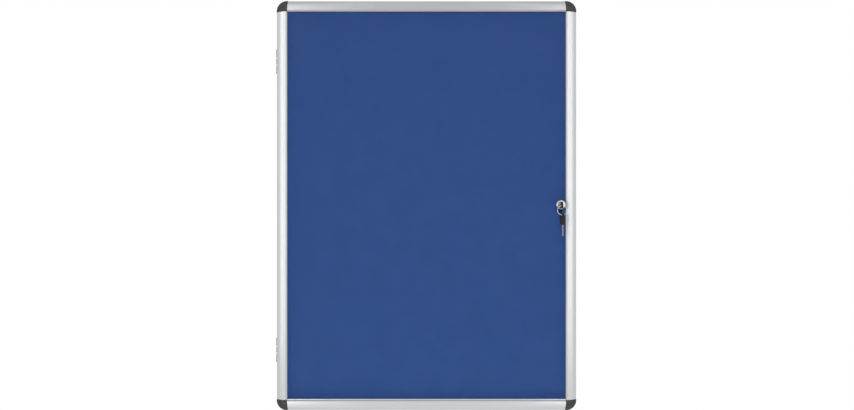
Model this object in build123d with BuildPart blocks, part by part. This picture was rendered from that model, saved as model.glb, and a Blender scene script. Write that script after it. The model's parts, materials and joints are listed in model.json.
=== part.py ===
from build123d import *
import os
from math import sqrt

# Lockable wall case for notices: a shallow case with a felt pin board, closed by a glazed door.
# Millimetres. +Z is up, the front faces -Y, the wall is the plane y = 0, and the origin is the
# centre of the back.

# Overall size and the two frames
case_width = 720.0
case_height = 984.0
frame_face = 24.4
case_depth = 16.0
door_depth = 16.0
seal_gap = 3.0
rail_wall = 1.8

# Case rail: a hollow box at the outside and two lips that hold the board
case_box = 16.0
lip_reach = 3.0
lip_thickness = 1.5

# Board stack, from the wall to the front
back_sheet_thickness = 0.8
pin_board_thickness = 5.0
felt_thickness = 1.5
board_play = 0.2
board_edge_gap = 0.5

# Door rail: convex crown, fine groove and sloping ledge along the inner edge, glazing groove in the
# inner wall
crest_inset = 14.0
crown_radius = 22.0
ledge_width = 3.2
ledge_step = 0.6
ledge_drop = 2.8
ledge_round = 0.4
line_groove_width = 0.6
line_groove_depth = 0.9
door_chamber_width = 12.4
door_chamber_depth = 8.7
pane_thickness = 3.0
gasket_cheek = 0.6
gasket_web = 0.8
gasket_reveal = 1.0
gasket_lock_gap = 0.8
groove_back = 6.0
groove_reach = 7.6

# Corner pieces: the door caps stand proud of the rails, and a thin rim covers the rails' ends
tongue_length = 22.0
tongue_clearance = 0.15
cap_stand = 0.6
cap_rim_gap = 0.15
cap_flare = 5.0

# Hinges
hinge_inset = 144.0
hinge_outset = 0.3
knuckle_radius = 2.4
knuckle_clearance = 0.4
outer_knuckle_length = 18.0
middle_knuckle_length = 13.0
hinge_washer_thickness = 4.0
hinge_axial_play = 0.1
hinge_washer_step = 0.2
pin_radius = 1.25
pin_clearance = 0.03
pin_head_radius = 2.0
pin_head_height = 1.2
leaf_width = 11.0
leaf_play = 0.2
leaf_screw_inset = 7.0
leaf_screw_offset = 19.0

# Dust seal strips on the front of the case
seal_inset = 12.4
seal_width = 3.0
seal_play = 0.3

# Screws
flat_shank_radius = 1.25
flat_head_radius = 2.5
flat_screw_grip = 5.0
screw_fit = 0.05
screw_slot_width = 0.7
screw_slot_depth = 0.6

# Fixing to the wall
wall_hole_radius = 2.75
wall_access_radius = 4.3
wall_hole_inset = 7.5
wall_hole_end_inset = 80.0

# Strike plate on the front of the right case rail
strike_thickness = 1.4
strike_height = 40.0
strike_inset = 5.0
strike_reach = 6.0
strike_corner = 2.0
strike_seal_gap = 1.0
strike_screw_offset = 14.0

# Lock in the pane
lock_rail_gap = 0.5
lock_height = 2.0
thread_radius = 8.0
thread_clearance = 0.2
bezel_radius = 12.2
bezel_taper = 1.2
bezel_round = 1.0
lock_washer_thickness = 0.8
lock_washer_setback = 0.4
nut_across_flats = 20.0
nut_thickness = 4.0
nut_fit = 0.05
plug_radius = 6.0
plug_clearance = 0.05
plug_flange_radius = 7.0
plug_flange_thickness = 1.6
tenon_width = 6.4
tenon_clearance = 0.05
tenon_stand = 0.1
cam_thickness = 2.0
cam_width = 12.0
cam_wall_gap = 2.1
cam_clearance = 0.4
cam_lift = 0.2
cam_screw_head_radius = 4.6
cam_screw_head_height = 1.4
cam_screw_shank_radius = 1.5
cam_screw_grip = 3.0

# Keys and ring
blade_length = 26.5
blade_width = 6.5
blade_thickness = 2.0
blade_embed = 10.0
blade_tip_chamfer = 2.0
blade_notch = 1.8
blade_notch_pitch = 3.6
blade_notch_count = 5
keyway_clearance = 0.15
keyway_end_gap = 0.3
keyway_floor = 0.4
key_shoulder = 5.0
head_length = 28.0
head_width = 16.0
head_thickness = 3.6
head_corner = 7.0
head_edge_round = 0.8
head_hole_radius = 3.4
head_hole_inset = 6.2
ring_radius = 11.1
ring_wire_radius = 0.9
ring_play = 0.5
spare_key_twist = 27.0

# Depths from the wall
pin_board_back = lip_thickness + back_sheet_thickness
felt_back = pin_board_back + pin_board_thickness
board_groove_front = felt_back + felt_thickness + board_play
case_lip_front = board_groove_front + lip_thickness
lip_edge = case_box + lip_reach
board_edge = case_box + board_edge_gap
door_back = case_depth + seal_gap
groove_width = pane_thickness + 2 * gasket_cheek
groove_edge = frame_face - groove_reach
pane_edge = groove_edge + gasket_web
pane_back = door_back + groove_back + gasket_cheek
pane_front = pane_back + pane_thickness
hinge_axis_depth = case_depth + seal_gap / 2
leaf_thickness = (seal_gap - leaf_play) / 2
hinge_length = 2 * outer_knuckle_length + 2 * hinge_washer_thickness + middle_knuckle_length
# The bevel along the outer edges at the split leaves room for the hinge barrel.
split_bevel = (knuckle_radius + knuckle_clearance) * sqrt(2) - seal_gap / 2
lock_inset = frame_face + lock_rail_gap + bezel_radius
lock_x = case_width / 2 - lock_inset
cam_reach = lock_inset - case_box - cam_wall_gap
cam_front = case_depth - cam_clearance
cam_back = cam_front - cam_thickness
tenon_end = cam_back - tenon_stand
lock_body_back = cam_front + cam_lift
cam_screw_end = tenon_end + cam_screw_grip
keyway_back = cam_screw_end + keyway_floor
lock_face = keyway_back + keyway_end_gap + blade_length - key_shoulder
bezel_back = pane_front + lock_washer_thickness
key_head_back = lock_face + key_shoulder
ring_depth = key_head_back + head_length - head_hole_inset
ring_drop = head_hole_radius - ring_wire_radius - ring_play

# Screw holes and lengths
screw_hole_radius = flat_shank_radius + screw_fit
screw_sink_radius = flat_head_radius + screw_fit
corner_screw_length = rail_wall + flat_screw_grip

# Sides: outward direction, distance of the outer edge from the centre, length between the corners
front = Vector(0, -1, 0)
outward = {
    "left": Vector(-1, 0, 0),
    "right": Vector(1, 0, 0),
    "top": Vector(0, 0, 1),
    "bottom": Vector(0, 0, -1),
}
run_direction = {
    "left": Vector(0, 0, 1),
    "right": Vector(0, 0, 1),
    "top": Vector(1, 0, 0),
    "bottom": Vector(1, 0, 0),
}
edge_distance = {
    "left": case_width / 2,
    "right": case_width / 2,
    "top": case_height / 2,
    "bottom": case_height / 2,
}
run_length = {
    "left": case_height - 2 * frame_face,
    "right": case_height - 2 * frame_face,
    "top": case_width - 2 * frame_face,
    "bottom": case_width - 2 * frame_face,
}
run_ends = {
    "left": ("top", "bottom"),
    "right": ("top", "bottom"),
    "top": ("left", "right"),
    "bottom": ("left", "right"),
}
corners = [("left", "top"), ("right", "top"), ("left", "bottom"), ("right", "bottom")]

os.makedirs("parts", exist_ok=True)


def spot(side, inset, depth, along=0):
    """Point on a side: inset from its outer edge, depth from the wall, distance along its run."""
    across = outward[side] * (edge_distance[side] - inset)
    return across + front * depth + run_direction[side] * along


def section_plane(side, depth=0, along=0):
    """Plane across a side: x runs inward from the outer edge, y runs from the wall to the front."""
    inward = outward[side] * -1
    return Plane(origin=spot(side, 0, depth, along), x_dir=inward, z_dir=inward.cross(front))


def front_plane(x, z, depth=0):
    """Plane that faces the front: x runs right, y runs up, z is the depth from the wall."""
    return Plane(origin=(x, -depth, z), x_dir=(1, 0, 0), z_dir=front)


def back_plane(x, z, depth=0):
    """Plane that faces the wall, at a depth from it."""
    return Plane(origin=(x, -depth, z), x_dir=(1, 0, 0), z_dir=front * -1)


def corner_end(side, end):
    """Signed distance along the run of a side to the end face of its corner at the given end."""
    return run_length[side] / 2 * outward[end].dot(run_direction[side])


def tongue_middle(side, end):
    """Signed distance along the run of a side to the middle of the corner tongue inside it."""
    return (run_length[side] - tongue_length) / 2 * outward[end].dot(run_direction[side])


def flat_screws(planes, length):
    """Slotted flat-head screws, each with its head flush in the plane and its shank behind it."""
    head_height = flat_head_radius - flat_shank_radius
    sunk = (Align.CENTER, Align.CENTER, Align.MAX)
    with BuildPart() as screws:
        with Locations(*planes):
            Cone(flat_shank_radius, flat_head_radius, head_height, align=sunk)
            Cylinder(flat_shank_radius, length, align=sunk)
            Box(2 * flat_head_radius, screw_slot_width, screw_slot_depth, align=sunk, mode=Mode.SUBTRACT)
    return screws.part


# Board: steel back sheet, pin board and felt, one behind the other in the rails' groove
board_layers = {
    "back_sheet": (lip_thickness, back_sheet_thickness),
    "pin_board": (pin_board_back, pin_board_thickness),
    "felt_facing": (felt_back, felt_thickness),
}
for layer, (layer_back, layer_thickness) in board_layers.items():
    with BuildPart() as board:
        with BuildSketch(front_plane(0, 0, layer_back)):
            Rectangle(case_width - 2 * board_edge, case_height - 2 * board_edge)
        extrude(amount=layer_thickness)
    board.part.label = layer
    export_step(board.part, f"parts/{layer}.step")

# Case rails
with BuildSketch() as case_chamber:
    with Locations((rail_wall, rail_wall)):
        Rectangle(case_box - 2 * rail_wall, case_depth - 2 * rail_wall, align=Align.MIN)

with BuildSketch() as case_section:
    with BuildLine():
        Polyline(
            (0, 0),
            (lip_edge, 0),
            (lip_edge, lip_thickness),
            (case_box, lip_thickness),
            (case_box, board_groove_front),
            (lip_edge, board_groove_front),
            (lip_edge, case_lip_front),
            (case_box, case_lip_front),
            (case_box, case_depth),
            (split_bevel, case_depth),
            (0, case_depth - split_bevel),
            close=True,
        )
    make_face()
    add(case_chamber.sketch, mode=Mode.SUBTRACT)

hinge_heights = {"upper": case_height / 2 - hinge_inset, "lower": hinge_inset - case_height / 2}
leaf_screw_steps = (-leaf_screw_offset, leaf_screw_offset)
leaf_screw_heights = [height + step for height in hinge_heights.values() for step in leaf_screw_steps]
case_screw_inset = case_box / 2
wall_hole_run = case_width / 2 - wall_hole_end_inset
strike_screw_heights = [lock_height - strike_screw_offset, lock_height + strike_screw_offset]

for side in outward:
    with BuildPart() as case_rail:
        with BuildSketch(section_plane(side)):
            add(case_section.sketch)
        extrude(amount=run_length[side] / 2, both=True)
        # Countersunk holes in the front wall for the corner screws
        tongue_middles = [tongue_middle(side, end) for end in run_ends[side]]
        corner_spots = [spot(side, case_screw_inset, case_depth, along) for along in tongue_middles]
        with Locations(*[Plane(place, z_dir=front) for place in corner_spots]):
            CounterSinkHole(screw_hole_radius, screw_sink_radius, 2 * rail_wall, counter_sink_angle=90)
        # Plain holes in the front wall for the hinge leaves or the strike
        plain_spots = []
        if side == "left":
            plain_spots = [spot(side, leaf_screw_inset, case_depth, along) for along in leaf_screw_heights]
        if side == "right":
            plain_spots = [spot(side, case_screw_inset, case_depth, along) for along in strike_screw_heights]
        if plain_spots:
            with Locations(*[Plane(place, z_dir=front) for place in plain_spots]):
                Hole(screw_hole_radius, 2 * rail_wall)
        if side in ("top", "bottom"):
            for along in (-wall_hole_run, wall_hole_run):
                with Locations(Plane(spot(side, wall_hole_inset, 0, along), z_dir=front * -1)):
                    Hole(wall_hole_radius, 2 * rail_wall)
                with Locations(Plane(spot(side, wall_hole_inset, case_depth, along), z_dir=front)):
                    Hole(wall_access_radius, 2 * rail_wall)
    case_rail.part.label = f"case_rail_{side}"
    export_step(case_rail.part, f"parts/case_rail_{side}.step")

# Case corners: quarter rounds with a pocket for the board and a tongue into each rail
with BuildSketch() as case_tongue:
    with Locations((rail_wall + tongue_clearance, rail_wall + tongue_clearance)):
        Rectangle(
            case_box - 2 * rail_wall - 2 * tongue_clearance,
            case_depth - 2 * rail_wall - 2 * tongue_clearance,
            align=Align.MIN,
        )

with BuildSketch() as case_corner_section:
    with BuildLine():
        Polyline(
            (0, 0),
            (frame_face, 0),
            (frame_face, case_depth),
            (split_bevel, case_depth),
            (0, case_depth - split_bevel),
            close=True,
        )
    make_face()

board_pocket_depth = board_groove_front - lip_thickness
board_pocket_size = frame_face - case_box

for side, end in corners:
    end_face = corner_end(side, end)
    turn_axis = Axis(spot(side, frame_face, 0, end_face), outward[side].cross(outward[end]))
    pocket_middle = lip_thickness + board_pocket_depth / 2
    pocket_place = spot(side, frame_face - board_pocket_size / 2, pocket_middle, end_face)
    pocket_place += outward[end] * (board_pocket_size / 2)
    with BuildPart() as case_corner:
        with BuildSketch(section_plane(side, 0, end_face)):
            add(case_corner_section.sketch)
        revolve(axis=turn_axis, revolution_arc=90)
        with Locations(pocket_place):
            Box(board_pocket_size, board_pocket_depth, board_pocket_size, mode=Mode.SUBTRACT)
        for rail, other in ((side, end), (end, side)):
            with BuildSketch(section_plane(rail, 0, corner_end(rail, other))):
                add(case_tongue.sketch)
            extrude(amount=tongue_length, dir=outward[other] * -1)
            screw_place = spot(rail, case_screw_inset, case_depth, tongue_middle(rail, other))
            with Locations(Plane(screw_place, z_dir=front)):
                Hole(screw_hole_radius, corner_screw_length + screw_fit)
    case_corner.part.label = f"case_corner_{end}_{side}"
    export_step(case_corner.part, f"parts/case_corner_{end}_{side}.step")

corner_screw_planes = [
    Plane(spot(rail, case_screw_inset, case_depth, tongue_middle(rail, other)), z_dir=front)
    for side, end in corners
    for rail, other in ((side, end), (end, side))
]
case_corner_screws = flat_screws(corner_screw_planes, corner_screw_length)
case_corner_screws.label = "case_corner_screws"
export_step(case_corner_screws, "parts/case_corner_screws.step")

# Dust seal: one strip on the front of each case rail
with BuildPart() as dust_seal:
    for side in outward:
        with BuildSketch(section_plane(side, case_depth)):
            with Locations((seal_inset, 0)):
                Rectangle(seal_width, seal_gap - seal_play, align=Align.MIN)
        extrude(amount=run_length[side] / 2, both=True)
    # Break in the right strip for the strike
    with Locations(spot("right", seal_inset + seal_width / 2, case_depth + seal_gap / 2, lock_height)):
        Box(2 * seal_width, seal_gap, strike_height + 2 * strike_seal_gap, mode=Mode.SUBTRACT)
dust_seal.part.label = "dust_seal"
export_step(dust_seal.part, "parts/dust_seal.step")

# Door rails
ledge_start = frame_face - ledge_width


def crown_height(inset, stand=0):
    """Height of the crown above the door's back, at an inset from the outer edge."""
    return door_depth - crown_radius + sqrt((crown_radius + stand) ** 2 - (inset - crest_inset) ** 2)


def door_outline(stand=0):
    """Outline of the door frame's section, grown by stand at its outside and its front."""
    outer_top = (-stand, crown_height(-stand, stand))
    step_top = (ledge_start, crown_height(ledge_start, stand))
    ledge_top = crown_height(ledge_start, stand) - ledge_step
    groove_side = ledge_start + line_groove_width
    groove_floor = ledge_top - line_groove_depth
    ledge_slope = ledge_drop / ledge_width
    with BuildSketch() as outline:
        with BuildLine():
            Polyline(
                outer_top,
                (-stand, split_bevel + stand),
                (split_bevel, 0),
                (frame_face, 0),
                (frame_face, ledge_top - ledge_drop),
                (groove_side, ledge_top - ledge_slope * line_groove_width),
                (groove_side, groove_floor),
                (ledge_start, groove_floor),
                step_top,
            )
            ThreePointArc(step_top, (crest_inset, door_depth + stand), outer_top)
        make_face()
    return outline.sketch


rail_outline = door_outline()
cap_outline = door_outline(cap_stand)
rim_inner_outline = door_outline(cap_rim_gap)

with BuildSketch() as door_section:
    add(rail_outline)
    fillet(door_section.vertices().group_by(Axis.X)[-1].sort_by(Axis.Y)[-1], ledge_round)
    fillet(door_section.vertices().sort_by_distance((ledge_start, door_depth))[0], ledge_round)
    with Locations((rail_wall, rail_wall)):
        Rectangle(door_chamber_width, door_chamber_depth, align=Align.MIN, mode=Mode.SUBTRACT)
    with Locations((groove_edge, groove_back)):
        Rectangle(groove_reach, groove_width, align=Align.MIN, mode=Mode.SUBTRACT)

cap_screw_inset = rail_wall + door_chamber_width / 2

for side in outward:
    with BuildPart() as door_rail:
        with BuildSketch(section_plane(side, door_back)):
            add(door_section.sketch)
        extrude(amount=run_length[side] / 2, both=True)
        # Countersunk holes in the back wall for the cap screws
        tongue_middles = [tongue_middle(side, end) for end in run_ends[side]]
        cap_spots = [spot(side, cap_screw_inset, door_back, along) for along in tongue_middles]
        with Locations(*[Plane(place, z_dir=front * -1) for place in cap_spots]):
            CounterSinkHole(screw_hole_radius, screw_sink_radius, 2 * rail_wall, counter_sink_angle=90)
        if side == "left":
            leaf_spots = [spot(side, leaf_screw_inset, door_back, height) for height in leaf_screw_heights]
            with Locations(*[Plane(place, z_dir=front * -1) for place in leaf_spots]):
                Hole(screw_hole_radius, 2 * rail_wall)
    door_rail.part.label = f"door_rail_{side}"
    export_step(door_rail.part, f"parts/door_rail_{side}.step")

# Door caps: the door outline turned about the inner corner, with a pocket for the pane, a rim over
# the rails' ends and a tongue into each rail
with BuildSketch() as door_tongue:
    with Locations((rail_wall + tongue_clearance, rail_wall + tongue_clearance)):
        Rectangle(
            door_chamber_width - 2 * tongue_clearance,
            door_chamber_depth - 2 * tongue_clearance,
            align=Align.MIN,
        )

for side, end in corners:
    end_face = corner_end(side, end)
    turn_axis = Axis(spot(side, frame_face, door_back, end_face), outward[side].cross(outward[end]))
    groove_middle = door_back + groove_back + groove_width / 2
    pocket_place = spot(side, frame_face - groove_reach / 2, groove_middle, end_face)
    pocket_place += outward[end] * (groove_reach / 2)
    with BuildPart() as cap_dome:
        with BuildSketch(section_plane(side, door_back, end_face)):
            add(cap_outline)
        revolve(axis=turn_axis, revolution_arc=90 + 2 * cap_flare)
    with BuildPart() as door_cap:
        add(cap_dome.part.rotate(turn_axis, -cap_flare))
        with Locations(pocket_place):
            Box(groove_reach, groove_width, groove_reach, mode=Mode.SUBTRACT)
        for rail, other in ((side, end), (end, side)):
            with BuildSketch(section_plane(rail, door_back, corner_end(rail, other))):
                add(rim_inner_outline)
            extrude(amount=tongue_length, dir=outward[other] * -1, mode=Mode.SUBTRACT)
            with BuildSketch(section_plane(rail, door_back, corner_end(rail, other))):
                add(door_tongue.sketch)
            extrude(amount=tongue_length, dir=outward[other] * -1)
            screw_place = spot(rail, cap_screw_inset, door_back, tongue_middle(rail, other))
            with Locations(Plane(screw_place, z_dir=front * -1)):
                Hole(screw_hole_radius, corner_screw_length + screw_fit)
    door_cap.part.label = f"door_cap_{end}_{side}"
    export_step(door_cap.part, f"parts/door_cap_{end}_{side}.step")

cap_screw_planes = [
    Plane(spot(rail, cap_screw_inset, door_back, tongue_middle(rail, other)), z_dir=front * -1)
    for side, end in corners
    for rail, other in ((side, end), (end, side))
]
door_cap_screws = flat_screws(cap_screw_planes, corner_screw_length)
door_cap_screws.label = "door_cap_screws"
export_step(door_cap_screws, "parts/door_cap_screws.step")

# Pane with the hole for the lock, and its gasket strips
with BuildPart() as pane:
    with BuildSketch(front_plane(0, 0, pane_back)):
        Rectangle(case_width - 2 * pane_edge, case_height - 2 * pane_edge)
    extrude(amount=pane_thickness)
    with Locations(front_plane(lock_x, lock_height, pane_front)):
        Hole(thread_radius + thread_clearance, pane_thickness)
pane.part.label = "pane"
export_step(pane.part, "parts/pane.step")

with BuildPart() as glazing_gasket:
    for side in outward:
        with BuildSketch(section_plane(side, door_back)):
            with Locations((groove_edge, groove_back)):
                Rectangle(groove_reach + gasket_reveal, groove_width, align=Align.MIN)
            with Locations((pane_edge, groove_back + gasket_cheek)):
                Rectangle(frame_face, pane_thickness, align=Align.MIN, mode=Mode.SUBTRACT)
        extrude(amount=run_length[side] / 2, both=True)
    # Notch in the right strip for the lock
    with Locations(front_plane(lock_x, lock_height, pane_front)):
        Cylinder(bezel_radius + gasket_lock_gap, 2 * groove_width, mode=Mode.SUBTRACT)
glazing_gasket.part.label = "glazing_gasket"
export_step(glazing_gasket.part, "parts/glazing_gasket.step")

# Hinges: leaves between the two frames, barrel in the groove that the bevels make
hinge_x = -case_width / 2 - hinge_outset
middle_zone = middle_knuckle_length + 2 * hinge_washer_thickness
outer_knuckle_offset = (middle_zone + outer_knuckle_length) / 2
outer_knuckle_steps = (-outer_knuckle_offset, outer_knuckle_offset)
washer_offset = (middle_knuckle_length + hinge_washer_thickness) / 2
barrel_space = knuckle_radius + knuckle_clearance
leaf_screw_x = leaf_screw_inset - case_width / 2

for name, height in hinge_heights.items():
    barrel_place = Vector(hinge_x, -hinge_axis_depth, height)
    outer_places = [barrel_place + Vector(0, 0, step) for step in outer_knuckle_steps]
    screw_spots = [(leaf_screw_x, height + step) for step in leaf_screw_steps]

    with BuildPart() as case_leaf:
        with Locations((hinge_x, -case_depth, height)):
            Box(leaf_width, leaf_thickness, hinge_length, align=(Align.MIN, Align.MAX, Align.CENTER))
        with Locations(barrel_place):
            Box(2 * barrel_space, 2 * barrel_space, middle_zone, mode=Mode.SUBTRACT)
        with Locations(*outer_places):
            Cylinder(knuckle_radius, outer_knuckle_length)
        with Locations(barrel_place):
            Cylinder(pin_radius + pin_clearance, hinge_length, mode=Mode.SUBTRACT)
        with Locations(*[front_plane(x, z, case_depth + leaf_thickness) for x, z in screw_spots]):
            CounterSinkHole(screw_hole_radius, screw_sink_radius, leaf_thickness, counter_sink_angle=90)
    case_leaf.part.label = f"hinge_case_leaf_{name}"
    export_step(case_leaf.part, f"parts/hinge_case_leaf_{name}.step")

    with BuildPart() as door_leaf:
        with Locations((hinge_x, -door_back, height)):
            Box(leaf_width, leaf_thickness, hinge_length, align=(Align.MIN, Align.MIN, Align.CENTER))
        with Locations(*outer_places):
            Box(
                2 * barrel_space,
                2 * barrel_space,
                outer_knuckle_length + 2 * hinge_washer_thickness,
                mode=Mode.SUBTRACT,
            )
        with Locations(barrel_place):
            Cylinder(knuckle_radius, middle_knuckle_length)
            Cylinder(pin_radius + pin_clearance, hinge_length, mode=Mode.SUBTRACT)
        with Locations(*[back_plane(x, z, door_back - leaf_thickness) for x, z in screw_spots]):
            CounterSinkHole(screw_hole_radius, screw_sink_radius, leaf_thickness, counter_sink_angle=90)
    door_leaf.part.label = f"hinge_door_leaf_{name}"
    export_step(door_leaf.part, f"parts/hinge_door_leaf_{name}.step")

    with BuildPart() as hinge_pin:
        with Locations(barrel_place):
            Cylinder(pin_radius, hinge_length)
        with Locations(barrel_place + Vector(0, 0, hinge_length / 2)):
            Cylinder(pin_head_radius, pin_head_height, align=(Align.CENTER, Align.CENTER, Align.MIN))
        with Locations(barrel_place - Vector(0, 0, hinge_length / 2)):
            Cylinder(pin_head_radius, pin_head_height, align=(Align.CENTER, Align.CENTER, Align.MAX))
    hinge_pin.part.label = f"hinge_pin_{name}"
    export_step(hinge_pin.part, f"parts/hinge_pin_{name}.step")

with BuildPart() as hinge_washers:
    for height in hinge_heights.values():
        for step in (-washer_offset, washer_offset):
            with Locations((hinge_x, -hinge_axis_depth, height + step)):
                Cylinder(knuckle_radius - hinge_washer_step, hinge_washer_thickness - 2 * hinge_axial_play)
                Cylinder(pin_radius + pin_clearance, hinge_washer_thickness, mode=Mode.SUBTRACT)
hinge_washers.part.label = "hinge_washers"
export_step(hinge_washers.part, "parts/hinge_washers.step")

leaf_screw_length = leaf_thickness + flat_screw_grip
hinge_case_screws = flat_screws(
    [front_plane(leaf_screw_x, height, case_depth + leaf_thickness) for height in leaf_screw_heights],
    leaf_screw_length,
)
hinge_case_screws.label = "hinge_case_screws"
export_step(hinge_case_screws, "parts/hinge_case_screws.step")

hinge_door_screws = flat_screws(
    [back_plane(leaf_screw_x, height, door_back - leaf_thickness) for height in leaf_screw_heights],
    leaf_screw_length,
)
hinge_door_screws.label = "hinge_door_screws"
export_step(hinge_door_screws, "parts/hinge_door_screws.step")

# Strike: a plate on the front of the right case rail, whose inner edge the cam turns behind
strike_width = case_box + strike_reach - strike_inset
strike_middle = case_width / 2 - strike_inset - strike_width / 2
strike_screw_planes = [
    front_plane(case_width / 2 - case_screw_inset, height, case_depth + strike_thickness)
    for height in strike_screw_heights
]
with BuildPart() as lock_strike:
    with BuildSketch(front_plane(strike_middle, lock_height, case_depth)):
        RectangleRounded(strike_width, strike_height, strike_corner)
    extrude(amount=strike_thickness)
    with Locations(*strike_screw_planes):
        CounterSinkHole(screw_hole_radius, screw_sink_radius, strike_thickness, counter_sink_angle=90)
lock_strike.part.label = "lock_strike"
export_step(lock_strike.part, "parts/lock_strike.step")

strike_screws = flat_screws(strike_screw_planes, strike_thickness + flat_screw_grip)
strike_screws.label = "strike_screws"
export_step(strike_screws, "parts/strike_screws.step")

# Lock: housing through the pane, washer and nut that clamp it, turning plug, cam and cam screw
lock_axis = Axis((lock_x, 0, lock_height), front)
lock_section = Plane(origin=(lock_x, 0, lock_height), x_dir=(1, 0, 0), z_dir=(0, 0, -1))
plug_bore = plug_radius + plug_clearance
flange_seat = lock_face - plug_flange_thickness
flange_bore = plug_flange_radius + plug_clearance

with BuildPart() as lock_housing:
    with BuildSketch(lock_section):
        with BuildLine():
            Polyline(
                (plug_bore, lock_body_back),
                (thread_radius, lock_body_back),
                (thread_radius, bezel_back),
                (bezel_radius, bezel_back),
                (bezel_radius - bezel_taper, lock_face),
                (flange_bore, lock_face),
                (flange_bore, flange_seat),
                (plug_bore, flange_seat),
                close=True,
            )
        make_face()
    revolve(axis=lock_axis)
    face_circles = lock_housing.edges().filter_by(GeomType.CIRCLE).group_by(Axis.Y)[0]
    fillet(face_circles.sort_by(SortBy.RADIUS)[-1], bezel_round)
lock_housing.part.label = "lock_housing"
export_step(lock_housing.part, "parts/lock_housing.step")

with BuildPart() as lock_washer:
    with BuildSketch(front_plane(lock_x, lock_height, pane_front)):
        Circle(bezel_radius - lock_washer_setback)
        Circle(thread_radius + thread_clearance, mode=Mode.SUBTRACT)
    extrude(amount=lock_washer_thickness)
lock_washer.part.label = "lock_washer"
export_step(lock_washer.part, "parts/lock_washer.step")

with BuildPart() as lock_nut:
    with BuildSketch(front_plane(lock_x, lock_height, pane_back)):
        RegularPolygon(nut_across_flats / 2, 6, major_radius=False, rotation=30)
        Circle(thread_radius + nut_fit, mode=Mode.SUBTRACT)
    extrude(amount=-nut_thickness)
lock_nut.part.label = "lock_nut"
export_step(lock_nut.part, "parts/lock_nut.step")

with BuildPart() as lock_plug:
    with BuildSketch(front_plane(lock_x, lock_height, tenon_end)):
        Rectangle(tenon_width, tenon_width)
    extrude(amount=lock_body_back - tenon_end)
    with BuildSketch(front_plane(lock_x, lock_height, lock_body_back)):
        Circle(plug_radius)
    extrude(amount=lock_face - lock_body_back)
    with BuildSketch(front_plane(lock_x, lock_height, flange_seat)):
        Circle(plug_flange_radius)
    extrude(amount=plug_flange_thickness)
    with BuildSketch(front_plane(lock_x, lock_height, keyway_back)):
        Rectangle(blade_thickness + 2 * keyway_clearance, blade_width + 2 * keyway_clearance)
    extrude(amount=lock_face - keyway_back, mode=Mode.SUBTRACT)
    with Locations(back_plane(lock_x, lock_height, tenon_end)):
        Hole(cam_screw_shank_radius + screw_fit, cam_screw_grip)
lock_plug.part.label = "lock_plug"
export_step(lock_plug.part, "parts/lock_plug.step")

with BuildPart() as lock_cam:
    with BuildSketch(front_plane(lock_x, lock_height, cam_back)):
        cam_length = cam_reach - cam_width / 2
        SlotCenterPoint((0, -cam_length / 2), (0, -cam_length), cam_width)
        Rectangle(tenon_width + 2 * tenon_clearance, tenon_width + 2 * tenon_clearance, mode=Mode.SUBTRACT)
    extrude(amount=cam_thickness)
lock_cam.part.label = "lock_cam"
export_step(lock_cam.part, "parts/lock_cam.step")

with BuildPart() as cam_screw:
    with Locations(back_plane(lock_x, lock_height, tenon_end)):
        Cylinder(
            cam_screw_head_radius,
            cam_screw_head_height,
            align=(Align.CENTER, Align.CENTER, Align.MIN),
        )
        Cylinder(cam_screw_shank_radius, cam_screw_grip, align=(Align.CENTER, Align.CENTER, Align.MAX))
    with Locations(back_plane(lock_x, lock_height, tenon_end - cam_screw_head_height)):
        Box(
            2 * cam_screw_head_radius,
            screw_slot_width,
            screw_slot_depth,
            align=(Align.CENTER, Align.CENTER, Align.MAX),
            mode=Mode.SUBTRACT,
        )
cam_screw.part.label = "cam_screw"
export_step(cam_screw.part, "parts/cam_screw.step")

# Keys: x runs along a key from its blade to its head, and starts where the blade enters the head
ring_top = lock_height - ring_drop
ring_centre = ring_top - ring_radius
spare_hole_height = ring_centre - ring_radius - ring_drop
spare_head_height = spare_hole_height - head_length + head_hole_inset
spare_normal = Vector(1, 0, 0).rotate(Axis.Z, spare_key_twist)
key_planes = {
    "key": Plane((lock_x, -key_head_back, lock_height), x_dir=front, z_dir=(1, 0, 0)),
    "spare_key": Plane((lock_x, -ring_depth, spare_head_height), x_dir=(0, 0, 1), z_dir=spare_normal),
}
notch_places = [
    (-blade_length + blade_notch_pitch * (number + 1), -blade_width / 2)
    for number in range(blade_notch_count)
]

for name, plane in key_planes.items():
    with BuildPart() as key_blade:
        with BuildSketch(plane) as key_sketch:
            with Locations((-blade_length, 0)):
                Rectangle(blade_length + blade_embed, blade_width, align=(Align.MIN, Align.CENTER))
            chamfer(key_sketch.vertices().group_by(Axis.X)[0], blade_tip_chamfer)
            with Locations(*notch_places):
                Rectangle(blade_notch, blade_notch, rotation=45, mode=Mode.SUBTRACT)
        extrude(amount=blade_thickness / 2, both=True)
    key_blade.part.label = f"{name}_blade"
    export_step(key_blade.part, f"parts/{name}_blade.step")

    with BuildPart() as key_head:
        with BuildSketch(plane):
            with Locations((head_length / 2, 0)):
                RectangleRounded(head_length, head_width, head_corner)
            with Locations((head_length - head_hole_inset, 0)):
                Circle(head_hole_radius, mode=Mode.SUBTRACT)
        extrude(amount=head_thickness / 2, both=True)
        fillet(key_head.edges().filter_by(plane), head_edge_round)
        with BuildSketch(plane):
            Rectangle(blade_embed, blade_width, align=(Align.MIN, Align.CENTER))
        extrude(amount=blade_thickness / 2, both=True, mode=Mode.SUBTRACT)
    key_head.part.label = f"{name}_head"
    export_step(key_head.part, f"parts/{name}_head.step")

with BuildPart() as key_ring:
    with Locations(front_plane(lock_x, ring_centre, ring_depth)):
        Torus(ring_radius, ring_wire_radius)
key_ring.part.label = "key_ring"
export_step(key_ring.part, "parts/key_ring.step")
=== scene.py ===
import json
import math

import bpy
from mathutils import Matrix, Vector


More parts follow.
